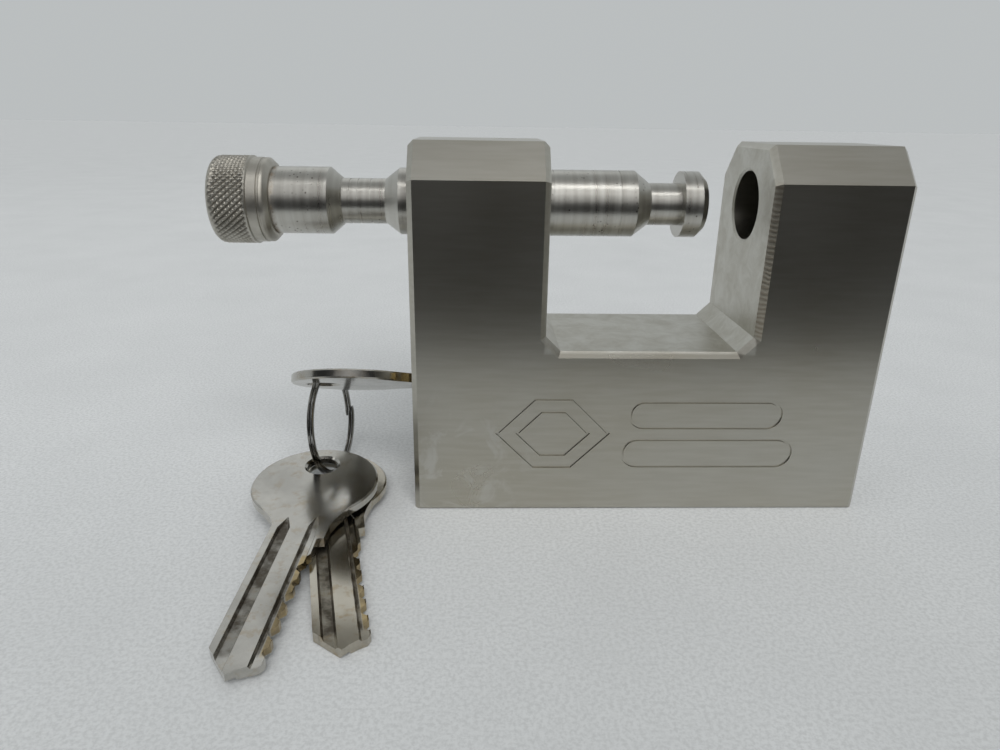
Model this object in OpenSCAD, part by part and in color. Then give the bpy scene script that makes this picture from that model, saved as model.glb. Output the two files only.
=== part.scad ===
// Hitch pin lock: a U-shaped steel block whose sliding pin bridges the slot.
// Frame: X along the block, Y from the engraved front to the back, Z up.
// The origin is the centre of the block's bottom face. Units are millimetres.

/* [Body] */
// Width of the block
body_w = 91.4; // [90.8:0.1:92.4]
// Thickness of the block, front to back
body_t = 29.7; // [29.2:0.1:31]
// Height of the block
body_h = 72; // [71.6:0.1:73]
// Width of the slot between the legs
slot_w = 40; // [39:0.2:40.4]
// Height of the slot's floor
slot_floor = 34; // [33.8:0.1:35]
// Height where the front and back bevels start
bevel_z = 65.5; // [64.5:0.1:66.5]
// Depth of the bevels at the top
bevel_in = 5.8; // [4:0.1:6.4]
// Chamfer on the block's outer edges
edge_c = 1; // [0.5:0.1:1.2]
// Chamfer around the slot's mouth
slot_c = 1.1; // [0.6:0.1:1.3]
// Facet in the slot's lower corners
slot_facet = 2.9; // [2:0.1:3.4]
// Depth of the engraved lines
engrave_d = 0.3; // [0.2:0.05:0.5]

/* [Pin] */
// Radius of the pin
pin_r = 6.35; // [6.2:0.05:6.35]
// Height of the pin's axis
pin_z = 60.2; // [60:0.1:60.6]
// Radius of the neck next to the knob
neck_r = 4.3; // [4.1:0.05:4.4]
// Radius of the neck next to the tip, where the bolt locks
lock_neck_r = 4.05; // [3.9:0.05:4.1]
// Radius of the knurled knob
knob_r = 8.3; // [8:0.1:8.8]

/* [Cylinder] */
// Height of the key cylinder's axis
cyl_z = 22.7; // [22.5:0.1:22.9]
// Radius of the rotating plug
plug_r = 6.5; // [6.3:0.1:6.5]
// Angle of the plug at rest, counted from the position that frees the key
rest_turn = 63; // [60:1:66]
// Distance between the pin chambers
pin_pitch = 3.7; // [3.6:0.05:3.8]

/* [Key] */
// Thickness of a key
key_t = 1.9; // [1.8:0.05:1.95]
// Radius of a key's bow
bow_r = 12.5; // [12:0.1:12.6]
// Radius of the hole in the bow
key_hole_r = 3.2; // [3.1:0.05:3.3]
// Mean radius of the split ring
ring_r = 11.25; // [11.2:0.05:11.3]

/* [Hidden] */

// Colours
steel = [0.60, 0.59, 0.57];
bright_steel = [0.75, 0.74, 0.72];
dark_steel = [0.30, 0.30, 0.31];
nickel = [0.66, 0.64, 0.60];
brass = [0.72, 0.58, 0.30];
spring_steel = [0.45, 0.45, 0.47];

eps = 0.5;                      // overshoot of every cutting solid
half_w = body_w / 2;
half_t = body_t / 2;
bottom_c = 0.4;
slot_x = slot_w / 2;
fine = 96;                      // facets on large round surfaces
round_n = 48;                   // facets on small round surfaces

// Pin: stations along X, with the pin part-way out
knob_left = -83.4;
knob_right = -72;
knurl_end = -75.9;
neck_start = -59;
neck_end = -50.8;
shank_start = -48.1;
shank_end = -2.6;
lock_neck_start = 0.4;
lock_neck_end = 6.5;
tip_x = 11.2;
tip_c = 1.3;
shaft_cone_start = -61.4;
knob_stub_r = 4;
knob_stub_end = -80.3;
knob_gap = 0.3;                 // knob to block when the pin is home
pin_home = -half_w - knob_right - knob_gap;
scribe_w = 0.3;
scribe_d = 0.12;
neck_scribes = [-57.5, -55.9, -53.5];
shank_scribes = [-18.7, -5.8];

// Bores for the pin
bore_gap = 0.1;
blind_gap = 0.3;
blind_end = tip_x + pin_home + 1.3;
bore_r = pin_r + bore_gap;
blind_r = pin_r + blind_gap;

// Bolt, in the right leg under the pin's locking neck
bolt_x = (lock_neck_start + lock_neck_end) / 2 + pin_home;
bolt_r = 4.4;
bolt_top = pin_z - pin_r - 0.35;
bolt_tip_half = 2.6;
bolt_tip_h = 4;
bolt_flange_r = 5.7;
bolt_flange_h = 3;
bolt_bore_r = bolt_r + 0.1;
spring_bore_r = 6;
spring_shoulder = 44;
cam_bore_r = 7.2;
cam_bore_top = 31;
plug_depth = 6;

// Cam: a flat-faced follower lifts in proportion to the turn
bolt_lift = 2.4;
cam_rest_h = 3.6;
cam_rate = bolt_lift / (rest_turn * PI / 180);
cam_half_t = 2.2;
follow_gap = 0.15;
bolt_foot = cyl_z + cam_rest_h + follow_gap;

// Cylinder: stations along X
plug_front = -41.1;
plug_back = -6.5;
housing_back = -8.5;
housing_r = 8.5;
fit_gap = 0.05;
pod_half = 3.6;
pod_bottom = 5.2;
recess_r = 8.9;
plug_head_r = 7.4;
plug_head_t = 1.2;
pin_count = 6;
pin_stack_r = 1.3;
cover_t = 0.8;
cover_end = -13.5;
key_pin_l = 1.9;
key_pin_seat = 0.13;
driver_l = 4;
clip_x = -8.2;
clip_t = 0.7;
clip_groove_r = 5.4;
tail_r = 2.2;
tail_blade = [3, 1.9, 7.8];
tail_end = 32.4;
screw_x = -11.2;

// Detent, in the left leg behind the pin
detent_x = (neck_start + neck_end) / 2 + pin_home;
ball_r = 1.6;
ball_y = pin_r + 0.1 + ball_r;
detent_bore_r = 1.7;
detent_screw_r = 2;
detent_screw_y = 12;
detent_screw_l = 2.6;

// Key: x runs from the bow's hole to the tip, y towards the back of the blade
bow_c = 6;
key_tip = 55;
bow_bevel = 0.3;
hole_bevel = 0.45;
back_y = 4.2;
edge_y = -4.4;
shoulder_y = -6.2;
shoulder_x = 24.4;
key_flat = 0.8;
key_cuts = [1, 0.7, 1.2, 0.9, 1.1, 0.8];
first_cut = 31.8;
groove_runout = 3;
hole_x = -65.8;                 // bow's hole of the inserted key
keyway_gap = 0.25;
mouth_t = 5.2;                  // widened mouth of the keyway
mouth_half = 5.3;

// Spare keys, by the centres of their holes
upper_hole = [-65.47, -8.3, 5.85];
lower_hole = [-66.1, -4.18, 2.94];

// Split ring
ring_pos = [-65.39, 2.58, 11.91];
ring_turn = 80.3;
ring_lean = 4.5;
wire_r = 0.6;
wire_step = 0.48;

function pin_x(i) = hole_x + first_cut + i * pin_pitch;

// ---------------------------------------------------------------- helpers

// A rod along +X that starts at x
module rod(x, r, l, n = round_n) {
  translate([x, 0, 0])
    rotate([0, 90, 0])
      cylinder(r = r, h = l, $fn = n);
}

// A right-angled wedge that chamfers the edge it lies on, along +Z
module edge_wedge(c, l) {
  translate([0, 0, -eps])
    linear_extrude(l + 2 * eps)
      polygon([[-c - eps, -eps], [eps, -eps], [eps, c + eps]]);
}

// Helical compression spring along +Z, its mean radius r
module coil_spring(r, wire, l, turns, steps = 12, sides = 6) {
  n = turns * steps;
  points = [
    for (i = [0 : n], j = [0 : sides - 1])
      let (a = 360 * i / steps, b = 360 * j / sides, d = r + wire * cos(b))
        [d * cos(a), d * sin(a), wire + (l - 2 * wire) * i / n + wire * sin(b)]
  ];
  walls = [
    for (i = [0 : n - 1], j = [0 : sides - 1])
      let (k = (j + 1) % sides, p = i * sides, q = p + sides)
        [p + j, p + k, q + k, q + j]
  ];
  start_cap = [[for (j = [sides - 1 : -1 : 0]) j]];
  end_cap = [[for (j = [0 : sides - 1]) n * sides + j]];
  polyhedron(points = points, faces = concat(walls, start_cap, end_cap), convexity = 8);
}

// Places children on the cylinder's axis, turned with the plug
module on_plug() {
  translate([0, 0, cyl_z])
    rotate([rest_turn, 0, 0])
      children();
}

// ---------------------------------------------------------------- body

// Slot outline in X and Z, grown by g on its three sides
module slot_outline(g) {
  x = slot_x + g;
  z = slot_floor - g;
  f = slot_facet + g * (2 - sqrt(2));
  polygon([
    [-x, body_h + 1], [-x, z + f], [-x + f, z],
    [x - f, z], [x, z + f], [x, body_h + 1]
  ]);
}

module slot_slab(g, y, t) {
  translate([0, y + t, 0])
    rotate([90, 0, 0])
      linear_extrude(t)
        slot_outline(g);
}

module slot_cut() {
  slot_slab(0, -half_t - 1, body_t + 2);
  for (side = [0, 1])
    mirror([0, side, 0])
      hull() {
        slot_slab(0, -half_t + slot_c, 0.01);
        slot_slab(slot_c + eps, -half_t - eps, 0.01);
      }
}

module body_profile() {
  rotate([90, 0, 90])
    translate([0, 0, -half_w])
      linear_extrude(body_w)
        polygon([
          [-half_t, 0], [half_t, 0], [half_t, bevel_z],
          [half_t - bevel_in, body_h], [-half_t + bevel_in, body_h], [-half_t, bevel_z]
        ]);
}

// Chamfers of one front corner: the upright edge and the edge of the bevel
module corner_chamfers() {
  slope = atan2(bevel_in, body_h - bevel_z);
  slant = norm([bevel_in, body_h - bevel_z]);
  translate([half_w, -half_t, 0])
    edge_wedge(edge_c, bevel_z);
  translate([half_w, -half_t, bevel_z])
    rotate([-slope, 0, 0])
      edge_wedge(edge_c, slant);
  translate([slot_x, -half_t, bevel_z])
    rotate([-slope, 0, 0])
      mirror([1, 0, 0])
        edge_wedge(slot_c, slant);
}

// Chamfers at both ends of a leg's top
module top_chamfers() {
  translate([half_w, half_t, body_h])
    rotate([90, 0, 0])
      mirror([0, 1, 0])
        edge_wedge(edge_c, body_t);
  translate([slot_x, half_t, body_h])
    rotate([90, 0, 0])
      rotate([0, 0, 180])
        edge_wedge(edge_c, body_t);
}

// A small break along the front and back edges of the bottom
module bottom_breaks() {
  for (side = [0, 1])
    mirror([0, side, 0])
      translate([-half_w, -half_t, 0])
        rotate([90, 0, 90])
          mirror([1, 0, 0])
            edge_wedge(bottom_c, body_w);
}

// Engraving on the front: two nested hexagons and two plain bars
module engraving() {
  line = 0.5;
  translate([0, -half_t + engrave_d, 0])
    rotate([90, 0, 0]) {
      translate([-18, 17.1, 0]) {
        badge_ring(11.4, 7.6, line);
        badge_ring(7.4, 4.9, line);
      }
      translate([0, 21.1, 0])
        bar_ring(24.6, 3, line);
      translate([-0.9, 12.8, 0])
        bar_ring(28.4, 3.2, line);
    }
}

// Outline of a hexagon a wide and b high from its centre
module badge_ring(a, b, line) {
  difference() {
    badge(a, b, 1);
    translate([0, 0, -1])
      badge(a - 1.3 * line, b - line, 3);
  }
}

module badge(a, b, h) {
  linear_extrude(h)
    polygon([[-a, 0], [b - a, -b], [a - b, -b], [a, 0], [a - b, b], [b - a, b]]);
}

// Outline of a bar with round ends, its straight part s long
module bar_ring(s, r, line) {
  difference() {
    stadium(s, r, 1);
    translate([0, 0, -1])
      stadium(s, r - line, 3);
  }
}

module stadium(s, r, h) {
  cylinder(r = r, h = h, $fn = 32);
  translate([s, 0, 0])
    cylinder(r = r, h = h, $fn = 32);
  translate([0, -r, 0])
    cube([s, 2 * r, h]);
}

module pin_bores() {
  mouth = 0.5;
  translate([0, 0, pin_z]) {
    rod(-half_w - 1, bore_r, half_w - slot_x + 2, fine);
    rod(slot_x - 1, blind_r, blind_end - slot_x + 1, fine);
    for (x = [-half_w, slot_x])
      translate([x - 0.01, 0, 0])
        rotate([0, 90, 0])
          cylinder(r1 = blind_r + mouth, r2 = bore_r, h = mouth, $fn = fine);
    translate([-slot_x + 0.01, 0, 0])
      rotate([0, -90, 0])
        cylinder(r1 = blind_r + mouth, r2 = bore_r, h = mouth, $fn = fine);
  }
}

module cylinder_cavity() {
  front = half_w + 1 + plug_front;
  translate([0, 0, cyl_z]) {
    rod(-half_w - 1, recess_r, front, fine);
    rod(plug_front - 1, housing_r + fit_gap, plug_back - plug_front + 1.6, fine);
    rod(plug_back, tail_r + 0.4, tail_end - plug_back + 1);
  }
  translate([-half_w - 1, -pod_half - fit_gap, pod_bottom - fit_gap])
    cube([half_w + 1 + housing_back + fit_gap, 2 * (pod_half + fit_gap), cyl_z - pod_bottom]);
}

module bolt_cavity() {
  translate([bolt_x, 0, 0]) {
    translate([0, 0, -1])
      cylinder(r = cam_bore_r, h = cam_bore_top + 1, $fn = fine);
    cylinder(r = spring_bore_r, h = spring_shoulder, $fn = fine);
    cylinder(r = bolt_bore_r, h = pin_z, $fn = fine);
  }
}

module detent_cavity() {
  translate([detent_x, half_t + 1, pin_z])
    rotate([90, 0, 0]) {
      cylinder(r = detent_bore_r, h = half_t - 4, $fn = round_n);
      cylinder(r = detent_screw_r, h = half_t + 1 - detent_screw_y, $fn = round_n);
    }
}

module screw_cavity() {
  translate([screw_x, 0, -1]) {
    cylinder(r = 1.75, h = pod_bottom + 1, $fn = round_n);
    cylinder(r = 3.3, h = 3, $fn = round_n);
  }
}

module lock_body() {
  color(steel)
    difference() {
      body_profile();
      slot_cut();
      for (mx = [0, 1], my = [0, 1])
        mirror([mx, 0, 0])
          mirror([0, my, 0])
            corner_chamfers();
      for (mx = [0, 1])
        mirror([mx, 0, 0])
          top_chamfers();
      bottom_breaks();
      pin_bores();
      cylinder_cavity();
      bolt_cavity();
      detent_cavity();
      screw_cavity();
      engraving();
    }
}

// ---------------------------------------------------------------- pin

module locking_pin() {
  color(bright_steel)
    translate([0, 0, pin_z])
      rotate([0, 90, 0])
        difference() {
          rotate_extrude($fn = fine)
            polygon([
              [0, knob_stub_end], [knob_stub_r, knob_stub_end], [knob_stub_r, knob_right - 1.2],
              [pin_r, knob_right - 1.2], [pin_r, shaft_cone_start],
              [neck_r, neck_start], [neck_r, neck_end], [pin_r, shank_start],
              [pin_r, shank_end], [lock_neck_r, lock_neck_start], [lock_neck_r, lock_neck_end],
              [pin_r, lock_neck_end], [pin_r, tip_x - tip_c], [pin_r - tip_c, tip_x], [0, tip_x]
            ]);
          for (x = neck_scribes)
            scribe(x, neck_r);
          for (x = shank_scribes)
            scribe(x, pin_r);
          translate([0, 0, knob_stub_end - 1])
            cylinder(r = 1.5, h = 8, $fn = round_n);
        }
}

// A fine turned line around the pin
module scribe(x, r) {
  translate([0, 0, x - scribe_w / 2])
    difference() {
      cylinder(r = r + 1, h = scribe_w, $fn = fine);
      translate([0, 0, -1])
        cylinder(r = r - scribe_d, h = scribe_w + 2, $fn = fine);
    }
}

module pin_knob() {
  rim = 1.6;
  bead_x = knob_right - 2.3;
  color(steel)
    translate([0, 0, pin_z])
      rotate([0, 90, 0])
        rotate_extrude($fn = fine)
          polygon([
            [2.6, knob_left], [knob_r - rim, knob_left],
            for (a = [15 : 15 : 75])
              [knob_r - rim + rim * sin(a), knob_left + rim - rim * cos(a)],
            [knob_r, knob_left + rim], [knob_r, knurl_end], [knob_r - 0.25, knurl_end],
            [knob_r - 0.25, bead_x - 0.6], [knob_r - 0.05, bead_x - 0.3], [knob_r - 0.05, bead_x + 0.3],
            [knob_r - 1.2, knob_right], [pin_r + 0.02, knob_right],
            [pin_r + 0.02, knob_right - 1.22], [knob_stub_r + 0.02, knob_right - 1.22],
            [knob_stub_r + 0.02, knob_stub_end - 0.02], [1.6, knob_stub_end - 0.02], [1.6, knob_left + 2.2],
            [2.6, knob_left + 2.2]
          ]);
}

module knob_screw() {
  color(dark_steel)
    translate([0, 0, pin_z])
      difference() {
        union() {
          rod(knob_left + 0.3, 2.55, 1.85);
          rod(knob_left + 2, 1.45, 7.5);
        }
        rod(knob_left - 1, 1.3, 2.6, 6);
      }
}

// ---------------------------------------------------------------- cylinder

module chambers(r, top) {
  for (i = [0 : pin_count - 1])
    translate([pin_x(i), 0, pod_bottom - 1])
      cylinder(r = r, h = top - pod_bottom + 1, $fn = 24);
}

module cylinder_housing() {
  l = housing_back - plug_front;
  color(brass)
    difference() {
      union() {
        translate([0, 0, cyl_z])
          rod(plug_front, housing_r, l, fine);
        translate([plug_front, -pod_half, pod_bottom])
          cube([l, 2 * pod_half, cyl_z - pod_bottom]);
      }
      translate([0, 0, cyl_z]) {
        rod(plug_front - 1, plug_r + fit_gap, l + 2, fine);
        rod(plug_front - 1, plug_head_r + fit_gap, plug_head_t + 1, fine);
      }
      chambers(pin_stack_r + fit_gap, cyl_z - plug_r + 1);
      translate([plug_front - 1, -2.5, pod_bottom - 1])
        cube([cover_end + 1 - plug_front, 5, cover_t + 1]);
      translate([screw_x, 0, pod_bottom - 1])
        cylinder(r = 1.6, h = 7, $fn = round_n);
    }
}

// The keyway, with two ribs that fit the key's grooves
module keyway() {
  half = key_t / 2 + keyway_gap;
  top = back_y + keyway_gap;
  bottom = edge_y - keyway_gap;
  difference() {
    translate([plug_front - 1, -half, bottom])
      cube([plug_back - plug_front + 2, 2 * half, top - bottom]);
    translate([plug_front - 2, half - 0.45, 1.5])
      cube([plug_back - plug_front, 1, 0.7]);
    translate([plug_front - 2, -half - 0.55, -0.6])
      cube([plug_back - plug_front, 1, 0.5]);
  }
}

module cylinder_plug() {
  color(brass)
    on_plug()
      difference() {
        union() {
          rod(plug_front, plug_r, plug_back - plug_front, fine);
          rod(plug_front, plug_head_r, plug_head_t - 0.05, fine);
        }
        translate([plug_front - 1, -key_t / 2 - keyway_gap, -mouth_half])
          cube([mouth_t + 1, key_t + 2 * keyway_gap, 2 * mouth_half]);
        intersection() {
          keyway();
          rod(plug_front - 1, 9, plug_back - plug_front - tail_blade[0]);
        }
        for (i = [0 : pin_count - 1])
          translate([pin_x(i), 0, -plug_r - 1])
            cylinder(r = pin_stack_r + fit_gap, h = plug_r - 3, $fn = 24);
        translate([plug_back - tail_blade[0], -tail_blade[1] / 2 - fit_gap, -4])
          cube([tail_blade[0] + 1, tail_blade[1] + 2 * fit_gap, 8]);
        difference() {
          rod(clip_x, plug_r + 1, clip_t, fine);
          rod(clip_x - 1, clip_groove_r, clip_t + 2, fine);
        }
      }
}

module chamber_cover() {
  color(brass)
    translate([plug_front + 0.2, -2.45, pod_bottom])
      cube([cover_end - 0.25 - plug_front, 4.9, cover_t - 0.05]);
}

module cylinder_screw() {
  color(dark_steel)
    translate([screw_x, 0, 0.3])
      difference() {
        union() {
          cylinder(r = 3.1, h = 1.65, $fn = round_n);
          cylinder(r = 1.55, h = 10.5, $fn = round_n);
        }
        translate([0, 0, -1])
          cylinder(r = 1.45, h = 2.2, $fn = 6);
      }
}

// Open spring ring that holds the plug in its housing
module plug_clip() {
  color(spring_steel)
    on_plug()
      difference() {
        rod(clip_x + 0.02, plug_r + 1.2, clip_t - 0.04, fine);
        rod(clip_x - 1, clip_groove_r + 0.02, clip_t + 2, fine);
        translate([clip_x - 1, -2.4, 2])
          cube([clip_t + 2, 4.8, 8]);
      }
}

module key_pin(i) {
  color(brass)
    on_plug()
      translate([pin_x(i), 0, -plug_r + key_pin_seat]) {
        cylinder(r = pin_stack_r, h = key_pin_l - 0.6, $fn = 24);
        translate([0, 0, key_pin_l - 0.6])
          cylinder(r1 = pin_stack_r, r2 = 0.7, h = 0.6, $fn = 24);
      }
}

module driver_pin(i) {
  color(dark_steel)
    translate([pin_x(i), 0, cyl_z - plug_r - fit_gap - driver_l - 0.25])
      cylinder(r = pin_stack_r, h = driver_l, $fn = 24);
}

module pin_spring(i) {
  floor_z = pod_bottom + cover_t + 0.05;
  top_z = cyl_z - plug_r - fit_gap - driver_l - 0.3;
  color(spring_steel)
    translate([pin_x(i), 0, floor_z])
      coil_spring(0.95, 0.18, top_z - floor_z, 5, 9, 5);
}

// ---------------------------------------------------------------- cam and bolt

module tailpiece() {
  color(spring_steel)
    on_plug()
      difference() {
        union() {
          translate([plug_back - tail_blade[0] + 0.05, -tail_blade[1] / 2, -tail_blade[2] / 2])
            cube(tail_blade);
          rod(plug_back, tail_r, tail_end - plug_back);
        }
        translate([bolt_x, 0, -5])
          cylinder(r = 0.75, h = 10, $fn = 24);
      }
}

// The flank is the envelope of a flat follower that rises cam_rate per radian,
// so it is an involute of a circle of that radius
function flank(a) =
  let (h = cam_rest_h + cam_rate * (a - (90 - rest_turn)) * PI / 180)
    [h * cos(a) - cam_rate * sin(a), h * sin(a) + cam_rate * cos(a)];

module cam() {
  low = 90 - rest_turn;
  color(dark_steel)
    on_plug()
      difference() {
        translate([bolt_x - cam_half_t, 0, 0])
          rotate([90, 0, 90])
            linear_extrude(2 * cam_half_t)
              polygon([
                for (a = [low - 8 : 7 : 90]) flank(a),
                flank(90),
                for (a = [130 : 15 : 340]) cam_rest_h * [cos(a), sin(a)]
              ]);
        rod(bolt_x - 5, tail_r + 0.02, 10);
        translate([bolt_x, 0, -5])
          cylinder(r = 0.75, h = 12, $fn = 24);
      }
}

module cam_roll_pin() {
  color(spring_steel)
    on_plug()
      translate([bolt_x, 0, -cam_rest_h + 0.2])
        difference() {
          cylinder(r = 0.74, h = 7, $fn = 24);
          translate([0, 0, -1])
            cylinder(r = 0.35, h = 9, $fn = 24);
        }
}

module deadbolt() {
  h = bolt_top - bolt_foot;
  color(bright_steel)
    translate([bolt_x, 0, bolt_foot])
      difference() {
        union() {
          cylinder(r = bolt_r, h = h - 0.6, $fn = fine);
          translate([0, 0, h - 0.6])
            cylinder(r1 = bolt_r, r2 = bolt_r - 0.6, h = 0.6, $fn = fine);
          cylinder(r = bolt_flange_r, h = bolt_flange_h, $fn = fine);
        }
        for (side = [0, 1])
          mirror([side, 0, 0])
            translate([bolt_tip_half, -6, h - bolt_tip_h])
              cube([6, 12, bolt_tip_h + 1]);
      }
}

module deadbolt_spring() {
  seat = bolt_foot + bolt_flange_h + 0.05;
  color(spring_steel)
    translate([bolt_x, 0, seat])
      coil_spring(5.2, 0.4, spring_shoulder - seat - 0.05, 5, 14, 6);
}

module base_plug() {
  color(dark_steel)
    translate([bolt_x, 0, 0.3])
      difference() {
        cylinder(r = cam_bore_r - 0.02, h = plug_depth - 0.3, $fn = fine);
        translate([0, 0, -1])
          cylinder(r = 3.46, h = 4, $fn = 6);
      }
}

// ---------------------------------------------------------------- detent

module detent_ball() {
  color(bright_steel)
    translate([detent_x, ball_y, pin_z])
      sphere(r = ball_r, $fn = 32);
}

module detent_spring() {
  start = ball_y + ball_r + 0.05;
  color(spring_steel)
    translate([detent_x, start, pin_z])
      rotate([-90, 0, 0])
        coil_spring(1.15, 0.2, detent_screw_y - start - 0.05, 3, 10, 5);
}

module detent_screw() {
  color(dark_steel)
    translate([detent_x, detent_screw_y, pin_z])
      rotate([-90, 0, 0])
        difference() {
          cylinder(r = detent_screw_r - 0.02, h = detent_screw_l, $fn = round_n);
          translate([0, 0, 1])
            cylinder(r = 1.15, h = 3, $fn = 6);
        }
}

// ---------------------------------------------------------------- keys

module blade_outline() {
  polygon([
    [12, 10.2], [15.5, 7.9], [18.6, 5.2], [20.6, back_y], [50.2, back_y], [key_tip, 0.2],
    [key_tip - 0.3, -0.4], [54.1, -1.2], [53.6, -2.4], [53.2, -3.8], [52.3, edge_y],
    [29.6, edge_y], [28.8, -5], [shoulder_x + 0.2, -5], [shoulder_x, shoulder_y],
    [20.6, -6.4], [18, -7.2], [15.2, -8.5], [12, -10.2]
  ]);
}

// One cut in the blade's edge, d deep
module key_cut(x, d) {
  flare = d + 1;
  translate([0, 0, -key_t])
    linear_extrude(2 * key_t)
      polygon([
        [x - key_flat / 2 - flare, edge_y - 1], [x - key_flat / 2, edge_y + d],
        [x + key_flat / 2, edge_y + d], [x + key_flat / 2 + flare, edge_y - 1]
      ]);
}

// Cross-section of a groove, w wide at the face and d deep
module groove_profile(w, d) {
  polygon([[-w / 2 - 0.2, -0.2], [w / 2 + 0.2, -0.2], [w / 2 - 0.3, d], [-w / 2 + 0.3, d]]);
}

// A groove with sloping sides along one face of the blade, which runs out towards the bow
module key_groove(x, y, w, d) {
  translate([x, y, -key_t / 2])
    rotate([90, 0, 90])
      linear_extrude(key_tip - x + 2)
        groove_profile(w, d);
  translate([x + 0.01, y, -key_t / 2])
    rotate([90, 0, 90])
      mirror([0, 0, 1])
        linear_extrude(groove_runout, scale = 0.1)
          groove_profile(w, d);
}

// A disc with bevelled rims, centred on the key's middle plane
module bow_disc() {
  side = key_t / 2;
  rotate_extrude($fn = fine)
    polygon([
      [0, -side], [bow_r - bow_bevel, -side], [bow_r, bow_bevel - side],
      [bow_r, side - bow_bevel], [bow_r - bow_bevel, side], [0, side]
    ]);
}

module bow_hole() {
  side = key_t / 2;
  wide = key_hole_r + hole_bevel;
  rotate_extrude($fn = round_n)
    polygon([
      [0, -side - eps], [wide + eps, -side - eps], [key_hole_r, hole_bevel - side],
      [key_hole_r, side - hole_bevel], [wide + eps, side + eps], [0, side + eps]
    ]);
}

module key_shape() {
  difference() {
    union() {
      translate([bow_c, 0, 0])
        bow_disc();
      translate([0, 0, -key_t / 2])
        linear_extrude(key_t)
          blade_outline();
    }
    bow_hole();
    for (i = [0 : len(key_cuts) - 1])
      key_cut(first_cut + i * pin_pitch, key_cuts[i]);
    key_groove(21.5, 1.85, 2.2, 0.65);
    key_groove(21, -3.55, 1.9, 0.55);
    mirror([0, 0, 1])
      key_groove(21.5, -0.35, 1.6, 0.6);
  }
}

module inserted_key() {
  color(nickel)
    translate([hole_x, 0, cyl_z])
      rotate([90 + rest_turn, 0, 0])
        key_shape();
}

// A key whose tip rests on the floor, its hole at pos, turned and tilted
module loose_key(pos, turn, tilt) {
  translate(pos)
    rotate([0, 0, turn])
      rotate([tilt, 0, 0])
        rotate([180, 0, -90])
          key_shape();
}

module spare_key_upper() {
  color(nickel)
    loose_key(upper_hole, -2.5, 4.3);
}

module spare_key_lower() {
  color(nickel)
    loose_key(lower_hole, 14.1, 2.1);
}

module key_ring() {
  color(dark_steel)
    translate(ring_pos)
      rotate([0, 0, ring_turn])
        rotate([90 - ring_lean, 0, 0])
          rotate_extrude($fn = fine) {
            translate([ring_r, wire_step])
              circle(r = wire_r, $fn = 24);
            translate([ring_r, -wire_step])
              circle(r = wire_r, $fn = 24);
          }
}

// ---------------------------------------------------------------- drawing

lock_body();
locking_pin();
pin_knob();
knob_screw();
cylinder_housing();
cylinder_plug();
chamber_cover();
cylinder_screw();
plug_clip();
key_pin(0);  // key_pin_1
key_pin(1);  // key_pin_2
key_pin(2);  // key_pin_3
key_pin(3);  // key_pin_4
key_pin(4);  // key_pin_5
key_pin(5);  // key_pin_6
driver_pin(0);  // driver_pin_1
driver_pin(1);  // driver_pin_2
driver_pin(2);  // driver_pin_3
driver_pin(3);  // driver_pin_4
driver_pin(4);  // driver_pin_5
driver_pin(5);  // driver_pin_6
pin_spring(0);  // pin_spring_1
pin_spring(1);  // pin_spring_2
pin_spring(2);  // pin_spring_3
pin_spring(3);  // pin_spring_4
pin_spring(4);  // pin_spring_5
pin_spring(5);  // pin_spring_6
tailpiece();
cam();
cam_roll_pin();
deadbolt();
deadbolt_spring();
base_plug();
detent_ball();
detent_spring();
detent_screw();
inserted_key();
key_ring();
spare_key_upper();
spare_key_lower();
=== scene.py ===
"""Looks of the hitch pin lock: camera, light, procedural metals, a knurled knob and a wound split ring.

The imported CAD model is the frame. Lengths here are in metres, and every place comes from a
CAD node's box or from the named values below.
"""
import math

import bpy
import numpy as np
from mathutils import Matrix, Vector


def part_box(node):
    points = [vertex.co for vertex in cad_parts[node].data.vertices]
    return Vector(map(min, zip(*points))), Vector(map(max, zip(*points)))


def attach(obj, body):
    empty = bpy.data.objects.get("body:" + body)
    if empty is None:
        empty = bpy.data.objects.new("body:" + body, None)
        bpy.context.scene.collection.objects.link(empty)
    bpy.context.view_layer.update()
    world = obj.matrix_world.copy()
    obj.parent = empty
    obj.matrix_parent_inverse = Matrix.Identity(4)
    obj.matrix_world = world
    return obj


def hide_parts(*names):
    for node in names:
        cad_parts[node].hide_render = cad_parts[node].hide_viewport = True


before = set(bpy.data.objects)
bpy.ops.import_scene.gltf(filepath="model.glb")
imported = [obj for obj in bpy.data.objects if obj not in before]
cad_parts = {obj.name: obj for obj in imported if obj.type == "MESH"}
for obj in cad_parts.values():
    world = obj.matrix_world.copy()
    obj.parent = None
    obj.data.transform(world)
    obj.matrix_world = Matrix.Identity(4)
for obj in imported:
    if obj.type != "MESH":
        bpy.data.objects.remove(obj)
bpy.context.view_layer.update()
MM = 0.001

# ------------------------------------------------------------------ places taken from the frame
body_lo, body_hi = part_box("lock_body")
pin_lo, pin_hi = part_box("locking_pin")
knob_lo, knob_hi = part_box("pin_knob")
ring_lo, ring_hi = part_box("key_ring")
pin_z = (pin_lo[2] + pin_hi[2]) / 2
half_w = body_hi[0]
half_t = body_hi[1]
slot_x = 20 * MM
slot_floor = 34 * MM
bevel_start = body_hi[2] - 6.5 * MM

CAMERA_PLACE = (-0.03286, -0.14162, 0.0760)
CAMERA_LENS = 25.32
SENSOR_WIDTH = 36
LIGHT_AIM = Vector((0, 0, 0.02))
REST_TURN = 63                  # degrees between the key in the photo and the place where it slides out


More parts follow.
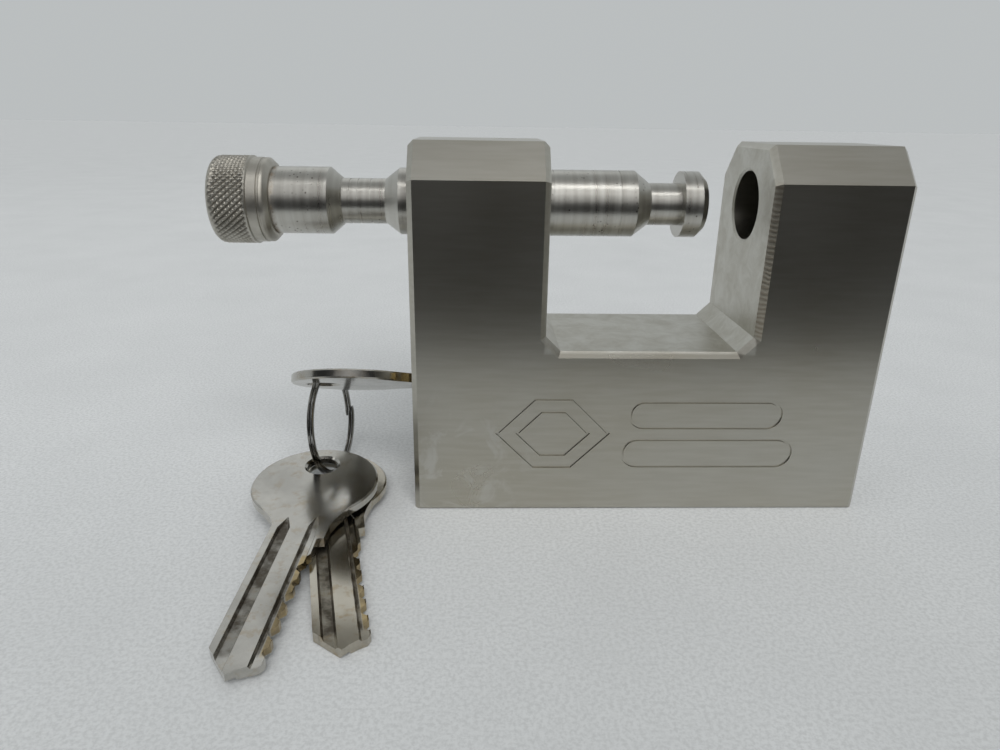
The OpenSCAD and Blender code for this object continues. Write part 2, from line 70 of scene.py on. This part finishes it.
# ------------------------------------------------------------------ camera, light and floor
def add_camera():
    """The photograph's viewpoint: low in front of the block, turned slightly to the right."""
    yaw = math.radians(1.89)
    pitch = math.radians(20.15)
    roll = math.radians(0.87)
    forward = Vector((math.sin(yaw) * math.cos(pitch), math.cos(yaw) * math.cos(pitch), -math.sin(pitch)))
    level = Vector((math.cos(yaw), -math.sin(yaw), 0))
    upright = level.cross(forward)
    right = level * math.cos(roll) + upright * math.sin(roll)
    up = upright * math.cos(roll) - level * math.sin(roll)
    turn = Matrix((right, up, -forward)).transposed().to_4x4()
    data = bpy.data.cameras.new("camera")
    data.lens = CAMERA_LENS
    data.sensor_width = SENSOR_WIDTH
    data.clip_start = 0.005
    camera = bpy.data.objects.new("camera", data)
    camera.matrix_world = Matrix.Translation(CAMERA_PLACE) @ turn
    bpy.context.collection.objects.link(camera)
    bpy.context.scene.camera = camera


def add_area(name, place, size, power):
    """A round soft light that aims at the block's foot."""
    data = bpy.data.lights.new(name, "AREA")
    data.shape = "DISK"
    data.size = size
    data.energy = power
    light = bpy.data.objects.new(name, data)
    light.location = place
    light.rotation_euler = (LIGHT_AIM - Vector(place)).to_track_quat("-Z", "Y").to_euler()
    bpy.context.collection.objects.link(light)


def add_sun(direction, strength, spread):
    """Soft light from far away, so the floor keeps one tone out to the horizon."""
    data = bpy.data.lights.new("wide_sun", "SUN")
    data.energy = strength
    data.angle = math.radians(spread)
    sun = bpy.data.objects.new("wide_sun", data)
    sun.rotation_euler = Vector(direction).to_track_quat("-Z", "Y").to_euler()
    bpy.context.collection.objects.link(sun)


def add_world():
    """A pale room that is dimmer overhead and in front, where the photographer stood."""
    world = bpy.data.worlds.new("soft_room")
    world.use_nodes = True
    tree = world.node_tree
    background = tree.nodes["Background"]
    place = tree.nodes.new("ShaderNodeTexCoord")
    toward = tree.nodes.new("ShaderNodeVectorMath")
    toward.operation = "DOT_PRODUCT"
    toward.inputs[1].default_value = (0.0, -0.6, 0.8)
    fade = tree.nodes.new("ShaderNodeValToRGB")
    low, high = fade.color_ramp.elements
    low.position, high.position = 0.1, 0.85
    low.color = (0.495, 0.517, 0.522, 1)
    high.color = (0.24, 0.245, 0.245, 1)
    tree.links.new(place.outputs["Generated"], toward.inputs[0])
    tree.links.new(toward.outputs["Value"], fade.inputs["Fac"])
    tree.links.new(fade.outputs["Color"], background.inputs["Color"])
    background.inputs["Strength"].default_value = 1.0
    bpy.context.scene.world = world


# ------------------------------------------------------------------ a small kit for node materials
class Paint:
    """Builds one node material. Its methods add a node and return the output socket."""

    def __init__(self, name, roughness=0.4, metallic=1.0, **constants):
        self.material = bpy.data.materials.new(name)
        self.material.use_nodes = True
        self.tree = self.material.node_tree
        self.shader = self.tree.nodes["Principled BSDF"]
        self.shader.inputs["Roughness"].default_value = roughness
        self.shader.inputs["Metallic"].default_value = metallic
        for key, value in constants.items():
            self.shader.inputs[key.replace("_", " ")].default_value = value
        self.place = self.node("ShaderNodeTexCoord").outputs["Object"]

    def node(self, kind, **settings):
        made = self.tree.nodes.new(kind)
        for key, value in settings.items():
            setattr(made, key, value)
        return made

    def feed(self, socket, value):
        if isinstance(value, bpy.types.NodeSocket):
            self.tree.links.new(value, socket)
        else:
            socket.default_value = value

    def stretch(self, scale, shift=(0, 0, 0), turn=(0, 0, 0)):
        made = self.node("ShaderNodeMapping")
        self.feed(made.inputs["Vector"], self.place)
        made.inputs["Scale"].default_value = scale
        made.inputs["Location"].default_value = shift
        made.inputs["Rotation"].default_value = turn
        return made.outputs["Vector"]

    def noise(self, scale, detail=3.0, roughness=0.5, vector=None, distortion=0.0):
        made = self.node("ShaderNodeTexNoise")
        self.feed(made.inputs["Vector"], self.place if vector is None else vector)
        made.inputs["Scale"].default_value = scale
        made.inputs["Detail"].default_value = detail
        made.inputs["Roughness"].default_value = roughness
        made.inputs["Distortion"].default_value = distortion
        return made.outputs["Fac"]

    def wave(self, scale, direction="X", kind="BANDS", vector=None, distortion=0.0, detail=2.0):
        made = self.node("ShaderNodeTexWave", wave_type=kind)
        if kind == "BANDS":
            made.bands_direction = direction
        else:
            made.rings_direction = direction
        self.feed(made.inputs["Vector"], self.place if vector is None else vector)
        made.inputs["Scale"].default_value = scale
        made.inputs["Distortion"].default_value = distortion
        made.inputs["Detail"].default_value = detail
        return made.outputs["Fac"]

    def cells(self, scale, vector=None):
        made = self.node("ShaderNodeTexVoronoi")
        self.feed(made.inputs["Vector"], self.place if vector is None else vector)
        made.inputs["Scale"].default_value = scale
        return made.outputs["Distance"]

    def ramp(self, value, *stops):
        """Colour ramp; each stop is (position, grey or colour)."""
        made = self.node("ShaderNodeValToRGB")
        self.feed(made.inputs["Fac"], value)
        points = made.color_ramp.elements
        while len(points) < len(stops):
            points.new(0.5)
        for point, (position, shade) in zip(points, stops):
            point.position = position
            tone = (shade,) * 3 if isinstance(shade, (int, float)) else shade
            point.color = (*tone, 1)
        return made.outputs["Color"]

    def math(self, kind, a, b=0.0, clamp=False):
        made = self.node("ShaderNodeMath", operation=kind, use_clamp=clamp)
        self.feed(made.inputs[0], a)
        self.feed(made.inputs[1], b)
        return made.outputs[0]

    def mix(self, factor, a, b):
        made = self.node("ShaderNodeMix", data_type="RGBA")
        self.feed(made.inputs["Factor"], factor)
        for socket, value in ((made.inputs[6], a), (made.inputs[7], b)):
            self.feed(socket, (*value, 1) if isinstance(value, tuple) else value)
        return made.outputs[2]

    def axis(self, letter):
        made = self.node("ShaderNodeSeparateXYZ")
        self.feed(made.inputs[0], self.place)
        return made.outputs[letter]

    def facing(self, letter):
        """How far the surface faces along an axis of the object."""
        made = self.node("ShaderNodeSeparateXYZ")
        self.feed(made.inputs[0], self.node("ShaderNodeTexCoord").outputs["Normal"])
        return made.outputs[letter]

    def along(self, origin, axis):
        """Distance from origin, measured along an axis."""
        gap = self.node("ShaderNodeVectorMath", operation="SUBTRACT")
        self.feed(gap.inputs[0], self.place)
        gap.inputs[1].default_value = origin
        reach = self.node("ShaderNodeVectorMath", operation="DOT_PRODUCT")
        self.feed(reach.inputs[0], gap.outputs[0])
        reach.inputs[1].default_value = axis
        return reach.outputs["Value"]

    def between(self, value, low, high, soft):
        """1 where value lies between low and high, fading over soft."""
        rise = self.node("ShaderNodeMapRange")
        fall = self.node("ShaderNodeMapRange")
        for made, start, end in ((rise, low - soft, low + soft), (fall, high + soft, high - soft)):
            self.feed(made.inputs["Value"], value)
            made.inputs["From Min"].default_value = start
            made.inputs["From Max"].default_value = end
        return self.math("MULTIPLY", rise.outputs[0], fall.outputs[0])

    def near(self, centre, radius, soft):
        """1 inside a ball round centre, fading over soft."""
        gap = self.node("ShaderNodeVectorMath", operation="DISTANCE")
        self.feed(gap.inputs[0], self.place)
        gap.inputs[1].default_value = centre
        return self.between(gap.outputs["Value"], -1, radius, soft)

    def colour(self, value):
        self.feed(self.shader.inputs["Base Color"], value)

    def rough(self, value):
        self.feed(self.shader.inputs["Roughness"], value)

    def bump(self, height, strength, distance=0.1 * MM):
        made = self.node("ShaderNodeBump")
        made.inputs["Strength"].default_value = strength
        made.inputs["Distance"].default_value = distance
        self.feed(made.inputs["Height"], height)
        earlier = self.shader.inputs["Normal"]
        if earlier.is_linked:
            self.feed(made.inputs["Normal"], earlier.links[0].from_socket)
        self.feed(earlier, made.outputs["Normal"])


# ------------------------------------------------------------------ materials
STEEL = (0.44, 0.415, 0.35)
STEEL_PALE = (0.56, 0.55, 0.50)


def brushed_block():
    """Satin stainless: fine grain, swirls by the slot, stains low on the left, chatter by the right leg."""
    paint = Paint("brushed_block", roughness=0.3)
    grain = paint.noise(900, 2, 0.5, paint.stretch((0.12, 1.2, 1.2)))
    cloud = paint.noise(38, 2, 0.4)
    base = paint.mix(paint.ramp(cloud, (0.30, 0.0), (0.72, 1.0)), STEEL, (0.47, 0.455, 0.405))
    base = paint.mix(paint.ramp(grain, (0.35, 0.0), (0.70, 0.35)), base, STEEL_PALE)
    # pale dried stains, low on the left of the front
    front = paint.ramp(paint.math("MULTIPLY", paint.facing("Y"), -1.0), (0.80, 0.0), (0.95, 1.0))
    stain_zone = paint.near((-half_w + 7 * MM, -half_t, 9 * MM), 12 * MM, 8 * MM)
    blot = paint.ramp(paint.noise(150, 4, 0.65, distortion=0.8), (0.50, 0.0), (0.62, 1.0))
    stain = paint.math("MULTIPLY", paint.math("MULTIPLY", stain_zone, blot), front)
    base = paint.mix(paint.math("MULTIPLY", stain, 0.55), base, (0.66, 0.66, 0.63))
    # the slot's walls and floor are duller and mottled
    inside = paint.math(
        "MULTIPLY",
        paint.between(paint.axis("X"), -slot_x - 0.3 * MM, slot_x + 0.3 * MM, 0.2 * MM),
        paint.between(paint.axis("Z"), slot_floor - 0.3 * MM, 1, 0.2 * MM),
    )
    mottle = paint.ramp(paint.noise(210, 5, 0.7, distortion=0.5), (0.38, 0.0), (0.66, 1.0))
    slot_tone = paint.mix(mottle, (0.60, 0.59, 0.54), (0.46, 0.44, 0.38))
    base = paint.mix(paint.math("MULTIPLY", inside, 0.85), base, slot_tone)
    # brown chatter marks on the front chamfer of the right leg
    chatter = paint.wave(330, "Z", distortion=5.0, detail=4)
    right_edge = paint.math(
        "MULTIPLY",
        paint.math(
            "MULTIPLY",
            paint.between(paint.axis("X"), slot_x - 0.1 * MM, slot_x + 1.15 * MM, 0.1 * MM),
            paint.between(paint.axis("Z"), slot_floor + 3 * MM, bevel_start, 0.5 * MM),
        ),
        paint.between(paint.axis("Y"), -1, -half_t + 1.15 * MM, 0.05 * MM),
    )
    marks = paint.mix(chatter, (0.24, 0.18, 0.12), (0.52, 0.47, 0.38))
    base = paint.mix(paint.math("MULTIPLY", right_edge, 0.55), base, marks)
    paint.colour(base)
    # roughness: satin, with hazier stains and walls
    rough = paint.ramp(cloud, (0.1, 0.26), (0.9, 0.31))
    rough = paint.mix(stain, rough, (0.5, 0.5, 0.5))
    paint.rough(paint.mix(inside, rough, (0.38, 0.38, 0.38)))
    paint.bump(grain, 0.04, 0.02 * MM)
    for corner_x in (-slot_x - 5 * MM, slot_x + 7 * MM):
        at = (corner_x, -half_t, slot_floor - 3 * MM)
        rings = paint.wave(330, "SPHERICAL", "RINGS", paint.stretch((1, 1, 1), (-at[0], -at[1], -at[2])), 0.6)
        paint.bump(paint.math("MULTIPLY", rings, paint.near(at, 7 * MM, 6 * MM)), 0.08, 0.02 * MM)
    paint.bump(paint.math("MULTIPLY", mottle, inside), 0.25, 0.03 * MM)
    paint.bump(paint.math("MULTIPLY", chatter, right_edge), 0.25, 0.04 * MM)
    return paint.material


def turned_steel():
    """Turned and polished pin: fine lathe rings, pits and specks, brown residue where the knob starts."""
    paint = Paint("turned_steel", roughness=0.28)
    lathe = paint.wave(1500, "X", distortion=2.5, detail=3)
    slow = paint.noise(1, 3, 0.5, paint.stretch((900, 30, 30)))
    pits = paint.ramp(paint.cells(1100), (0.12, 1.0), (0.25, 0.0))
    patch = paint.ramp(paint.noise(170, 4, 0.6), (0.50, 0.0), (0.62, 1.0))
    pits = paint.math("MULTIPLY", pits, patch)
    base = paint.mix(paint.ramp(slow, (0.35, 0.0), (0.65, 1.0)), (0.47, 0.455, 0.415), (0.57, 0.56, 0.52))
    base = paint.mix(pits, base, (0.12, 0.105, 0.09))
    crust = paint.math(
        "MULTIPLY",
        paint.between(paint.axis("X"), knob_hi[0] - 0.2 * MM, knob_hi[0] + 0.7 * MM, 0.4 * MM),
        paint.ramp(paint.noise(500, 4, 0.7), (0.40, 0.0), (0.60, 1.0)),
    )
    base = paint.mix(paint.math("MULTIPLY", crust, 0.7), base, (0.22, 0.16, 0.10))
    paint.colour(base)
    paint.rough(paint.mix(crust, paint.ramp(slow, (0.2, 0.25), (0.8, 0.34)), (0.6, 0.6, 0.6)))
    paint.bump(lathe, 0.12, 0.01 * MM)
    paint.bump(pits, -0.35, 0.05 * MM)
    return paint.material


def knob_steel():
    """Knurled steel: bright crests, and dull valleys darkened with painted shade."""
    paint = Paint("knob_steel", roughness=0.38)
    axis_x = paint.axis("X")
    away = paint.node("ShaderNodeVectorMath", operation="DISTANCE")
    paint.feed(away.inputs[0], paint.stretch((0, 1, 1), (0, 0, -pin_z)))
    away.inputs[1].default_value = (0, 0, 0)
    height = paint.node("ShaderNodeMapRange")
    paint.feed(height.inputs["Value"], away.outputs["Value"])
    height.inputs["From Min"].default_value = knob_hi[1] - 0.55 * MM
    height.inputs["From Max"].default_value = knob_hi[1]
    grime = paint.ramp(paint.noise(380, 4, 0.6), (0.35, 0.0), (0.70, 1.0))
    knurled = paint.between(axis_x, knob_lo[0] + 1 * MM, knob_lo[0] + 7.3 * MM, 0.2 * MM)
    # painted shade: the knurl's valleys darken with their depth, and this mask also makes them rougher
    valley_shade = paint.math("MULTIPLY", paint.ramp(height.outputs[0], (0.1, 1.0), (0.75, 0.0)), knurled)
    base = paint.mix(grime, (0.50, 0.48, 0.43), (0.42, 0.40, 0.35))
    base = paint.mix(valley_shade, base, (0.16, 0.145, 0.12))
    paint.colour(base)
    paint.rough(paint.mix(valley_shade, paint.ramp(grime, (0.0, 0.34), (1.0, 0.46)), (0.55, 0.55, 0.55)))
    paint.bump(paint.wave(900, "X", distortion=1.0), 0.08, 0.01 * MM)
    return paint.material


def nickel(name, tone, blotch, hole, turn):
    """Nickel plate over brass: pale faces, brown dirt in the grooves and bare brass in the cuts.

    The hole's centre and the turn place the key: its own x runs to the tip and y to the spine.
    """
    paint = Paint(name, roughness=0.24)
    reach = paint.along(hole, turn.col[0])
    across = paint.along(hole, turn.col[1])
    depth = paint.math("ABSOLUTE", paint.along(hole, turn.col[2]))
    sunk = paint.math(
        "MULTIPLY",
        paint.between(depth, -1, 0.84 * MM, 0.05 * MM),
        paint.between(reach, 19 * MM, 51 * MM, 0.6 * MM),
    )
    groove = paint.math("MULTIPLY", sunk, paint.between(across, -3.3 * MM, 3.4 * MM, 0.1 * MM))
    cuts = paint.math("MULTIPLY", sunk, paint.between(across, -1, -3.4 * MM, 0.1 * MM))
    cuts = paint.math("MULTIPLY", cuts, paint.between(reach, 28.5 * MM, 1, 0.5 * MM))
    cloud = paint.noise(120, 5, 0.6, distortion=0.4)
    fine = paint.noise(1200, 3, 0.6)
    grime = paint.ramp(paint.noise(300, 4, 0.65), (0.38, 0.25), (0.58, 0.95))
    base = paint.mix(paint.ramp(cloud, (0.35, 0.0), (0.68, 1.0)), tone, tuple(0.84 * c for c in tone))
    brown = paint.ramp(paint.noise(420, 4, 0.7), (0.52, 0.0), (0.66, 1.0))
    base = paint.mix(paint.math("MULTIPLY", brown, blotch), base, (0.36, 0.27, 0.15))
    base = paint.mix(paint.math("MULTIPLY", groove, grime), base, (0.10, 0.085, 0.065))
    bare_brass = paint.mix(grime, (0.50, 0.38, 0.18), (0.24, 0.18, 0.09))
    base = paint.mix(paint.math("MULTIPLY", cuts, 0.85), base, bare_brass)
    paint.colour(base)
    paint.rough(paint.mix(groove, paint.ramp(cloud, (0.3, 0.11), (0.75, 0.22)), (0.4, 0.4, 0.4)))
    paint.bump(fine, 0.12, 0.01 * MM)
    return paint.material


def lying_key(turn, tilt):
    """Axes of a spare key that lies face up with its tip towards the camera."""
    return (
        Matrix.Rotation(math.radians(turn), 3, "Z") @ Matrix.Rotation(math.radians(tilt), 3, "X")
        @ Matrix.Rotation(math.radians(-90), 3, "Z") @ Matrix.Rotation(math.radians(180), 3, "X")
    )


def machined(name, tone, rough, dirt=0.3):
    """Plain machined metal of the inner parts: clouded, finely scratched, with dark specks."""
    paint = Paint(name, roughness=rough)
    cloud = paint.noise(160, 4, 0.6)
    scratch = paint.noise(1, 4, 0.6, paint.stretch((1800, 240, 240)))
    spots = paint.ramp(paint.cells(700), (0.06, 1.0), (0.20, 0.0))
    dark = tuple(0.72 * c for c in tone)
    base = paint.mix(paint.ramp(cloud, (0.3, 0.0), (0.7, 1.0)), tone, dark)
    base = paint.mix(paint.math("MULTIPLY", spots, dirt), base, tuple(0.35 * c for c in tone))
    paint.colour(base)
    paint.rough(paint.ramp(cloud, (0.2, max(0.05, rough - 0.06)), (0.8, rough + 0.08)))
    paint.bump(scratch, 0.15, 0.02 * MM)
    return paint.material


def floor_paint():
    """Pale board: faint clouds, fine grey speckle and a painted shadow that darkens it towards the camera."""
    paint = Paint("pale_floor", roughness=0.8, metallic=0.0, Specular_IOR_Level=0.1)
    cloud = paint.noise(26, 4, 0.6)
    fine = paint.noise(1500, 3, 0.7)
    coarse = paint.noise(240, 3, 0.6)
    base = paint.mix(paint.ramp(cloud, (0.3, 0.0), (0.7, 1.0)), (0.63, 0.645, 0.65), (0.68, 0.695, 0.70))
    base = paint.mix(paint.ramp(fine, (0.42, 0.0), (0.62, 0.7)), base, (0.50, 0.512, 0.515))
    base = paint.mix(paint.ramp(coarse, (0.60, 0.0), (0.78, 0.30)), base, (0.72, 0.73, 0.73))
    # painted shadow: the floor darkens towards the camera, where the photographer stood
    shade = paint.between(paint.axis("Y"), -9, -0.04, 0.06)
    paint.colour(paint.mix(paint.math("MULTIPLY", shade, 0.30), base, (0.40, 0.412, 0.41)))
    paint.bump(fine, 0.15, 0.1 * MM)
    return paint.material


# ------------------------------------------------------------------ meshes
def add_mesh(name, points, faces, material, smooth_angle=30):
    mesh = bpy.data.meshes.new(name)
    mesh.from_pydata([tuple(p) for p in points], [], faces)
    mesh.validate()
    mesh.update()
    mesh.materials.append(material)
    thing = bpy.data.objects.new(name, mesh)
    bpy.context.collection.objects.link(thing)
    mesh.shade_smooth()
    mesh.set_sharp_from_angle(angle=math.radians(smooth_angle))
    return thing


def grid_faces(rows, columns, close_rows=False):
    """Quads of a tube whose points run round each of its rows in turn."""
    faces = []
    for i in range(rows if close_rows else rows - 1):
        a = i * columns
        b = ((i + 1) % rows) * columns
        faces += [(a + j, a + (j + 1) % columns, b + (j + 1) % columns, b + j) for j in range(columns)]
    return faces


def add_knob():
    """The knob: a diamond knurl with rounded ends, a plain collar, a bead and a dark groove."""
    radius = knob_hi[1]
    left, right = knob_lo[0], knob_hi[0]
    knurl_end = left + 7.5 * MM
    starts = 44
    depth = 0.42 * MM
    around = starts * 8
    pitch = 2 * math.pi * radius / starts * 1.15

    def ridge(t):
        return 1 - abs(2 * (t % 1.0) - 1)

    def knurl(x, turn):
        fade = min(1.0, (x - left - 0.5 * MM) / (1.0 * MM), (knurl_end - 0.25 * MM - x) / (0.4 * MM))
        if fade <= 0:
            return 0.0
        lane = starts * turn / (2 * math.pi)
        low = min(ridge(lane + x / pitch), 0.25 + ridge(lane - x / pitch))
        return fade * depth * (1 - min(1.0, 1.35 * low))

    rim = 1.6 * MM
    profile = [(left + 2.0 * MM, 2.62 * MM), (left + 0.25 * MM, 2.62 * MM), (left, 2.9 * MM)]
    profile += [(left, radius - rim - 0.4 * MM)]
    rounding = np.radians(range(10, 90, 10))
    profile += [(left + rim * (1 - math.cos(a)), radius - rim + rim * math.sin(a)) for a in rounding]
    profile += [(x, radius) for x in np.arange(left + rim, knurl_end - 0.05 * MM, 0.13 * MM)]
    bead = right - 1.4 * MM
    profile += [
        (knurl_end, radius - 0.1 * MM), (knurl_end + 0.12 * MM, radius - 0.3 * MM),
        (bead - 0.65 * MM, radius - 0.3 * MM), (bead - 0.5 * MM, radius - 0.52 * MM),
        (bead - 0.25 * MM, radius - 0.52 * MM), (bead - 0.1 * MM, radius - 0.36 * MM),
        (bead + 0.4 * MM, radius - 0.36 * MM), (bead + 0.7 * MM, radius - 0.6 * MM),
        (right - 0.15 * MM, radius - 1.15 * MM), (right, radius - 1.35 * MM),
        (right, pin_hi[1] + 0.03 * MM), (right - 1.2 * MM, pin_hi[1] + 0.03 * MM),
        (right - 1.2 * MM, 4.02 * MM), (left + 3.3 * MM, 4.02 * MM),
        (left + 3.3 * MM, 1.62 * MM), (left + 2.2 * MM, 1.62 * MM),
    ]
    points = []
    for x, r in profile:
        for j in range(around):
            turn = 2 * math.pi * j / around
            reach = r - (knurl(x, turn) if r > radius - rim else 0.0)
            points.append((x, reach * math.cos(turn), pin_z + reach * math.sin(turn)))
    faces = [tuple(reversed(f)) for f in grid_faces(len(profile), around, close_rows=True)]
    knob = add_mesh("knurled_knob", points, faces, knob_steel(), 40)
    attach(knob, "pin")
    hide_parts("pin_knob")


def add_split_ring():
    """Two turns of flattened wire, wound side by side as a helix whose ends both show."""
    centre = (Vector(ring_lo) + Vector(ring_hi)) / 2
    turn = math.radians(80.3)
    lean = math.radians(4.5)
    mean_r = 11.25 * MM
    half_wide = 0.34 * MM
    half_high = 0.58 * MM
    half_travel = 0.69 * MM
    out = Vector((math.cos(turn), math.sin(turn), 0))
    up = Vector((-math.sin(turn) * math.sin(lean), math.cos(turn) * math.sin(lean), math.cos(lean)))
    side = out.cross(up)
    start = math.radians(-16)
    sweep = 4 * math.pi + math.radians(11.5)
    rows, columns = 280, 16
    points = []
    for i in range(rows):
        a = start + sweep * i / (rows - 1)
        offset = half_travel * ((a - start) / sweep * 2 - 1)
        radial = out * math.cos(a) + up * math.sin(a)
        taper = min(1.0, 0.6 + 0.2 * min(i, rows - 1 - i))
        for j in range(columns):
            b = 2 * math.pi * j / columns
            c, s = math.cos(b), math.sin(b)
            wide = half_wide * taper * math.copysign(abs(c) ** 0.75, c)
            high = half_high * taper * math.copysign(abs(s) ** 0.85, s)
            points.append(centre + radial * (mean_r + high) + side * (offset + wide))
    faces = grid_faces(rows, columns)
    faces += [tuple(range(columns)), tuple(reversed(range((rows - 1) * columns, rows * columns)))]
    ring = add_mesh("split_ring", points, faces, machined("ring_wire", (0.38, 0.375, 0.36), 0.14), 45)
    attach(ring, "ring")
    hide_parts("key_ring")


def soften(node, width, angle=28):
    """Merges a CAD node's flat triangles and rounds its edges a little, as modifiers."""
    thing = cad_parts[node]
    flat = thing.modifiers.new("flatten", "DECIMATE")
    flat.decimate_type = "DISSOLVE"
    flat.angle_limit = math.radians(0.6)
    bevel = thing.modifiers.new("edges", "BEVEL")
    bevel.width = width
    bevel.segments = 2
    bevel.limit_method = "ANGLE"
    bevel.angle_limit = math.radians(angle)
    bevel.use_clamp_overlap = True
    bevel.harden_normals = True


def repaint(material, *names):
    for name in names:
        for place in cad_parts[name].material_slots:
            place.material = material


def add_floor():
    size = 6
    rest = body_lo[2] - 0.02 * MM
    points = [(-size, -size, rest), (size, -size, rest), (size, size, rest), (-size, size, rest)]
    floor = add_mesh("floor", points, [(0, 1, 2, 3)], floor_paint())


def add_dark_card():
    """A dark card in front of the block, which the steel reflects and no camera sees."""
    y = -0.105
    points = [(-0.4, y, 0.002), (0.4, y, 0.002), (0.4, y, 0.25), (-0.4, y, 0.25)]
    paint = Paint("dark_card", roughness=0.9, metallic=0.0)
    paint.colour((0.012, 0.012, 0.013, 1))
    card = add_mesh("dark_card", points, [(0, 1, 2, 3)], paint.material)
    card.visible_camera = False
    card.visible_shadow = False
    card.visible_diffuse = False


# ------------------------------------------------------------------ the scene
add_camera()
add_world()
add_floor()
add_dark_card()
add_sun((-0.1, 0.75, -0.75), 2.2, 45)
add_area("back_light", (-0.1, 0.5, 0.55), 0.5, 0.15)
add_area("fill_light", (-0.5, -0.2, 0.55), 0.5, 0.4)

repaint(brushed_block(), "lock_body")
repaint(turned_steel(), "locking_pin")
PALE_NICKEL = (0.54, 0.525, 0.485)
WARM_NICKEL = (0.53, 0.495, 0.42)
inserted_turn = Matrix.Rotation(math.radians(90 + REST_TURN), 3, "X")
key_looks = (
    ("inserted_key", PALE_NICKEL, 0.35, (-65.8, 0, 22.7), inserted_turn),
    ("spare_key_upper", PALE_NICKEL, 0.35, (-65.47, -8.3, 5.85), lying_key(-2.5, 4.3)),
    ("spare_key_lower", WARM_NICKEL, 0.6, (-66.1, -4.18, 2.94), lying_key(14.1, 2.1)),
)
for name, tone, blotch, hole, turn in key_looks:
    repaint(nickel(name + "_nickel", tone, blotch, Vector(hole) * MM, turn), name)
six = range(1, 7)
brass = machined("machined_brass", (0.66, 0.49, 0.22), 0.28)
repaint(brass, "cylinder_housing", "cylinder_plug", "chamber_cover", *(f"key_pin_{i}" for i in six))
ground = machined("ground_steel", (0.58, 0.57, 0.55), 0.2)
repaint(ground, "deadbolt", "detent_ball", *(f"driver_pin_{i}" for i in six))
wire = machined("drawn_wire", (0.42, 0.42, 0.42), 0.25)
repaint(wire, "deadbolt_spring", "detent_spring", *(f"pin_spring_{i}" for i in six))
repaint(wire, "plug_clip", "tailpiece", "cam_roll_pin")
black = machined("black_oxide", (0.05, 0.05, 0.052), 0.38)
repaint(black, "knob_screw", "cylinder_screw", "base_plug", "detent_screw", "cam")

soften("lock_body", 0.22 * MM)
add_knob()
add_split_ring()

bpy.context.scene.view_settings.view_transform = "Standard"
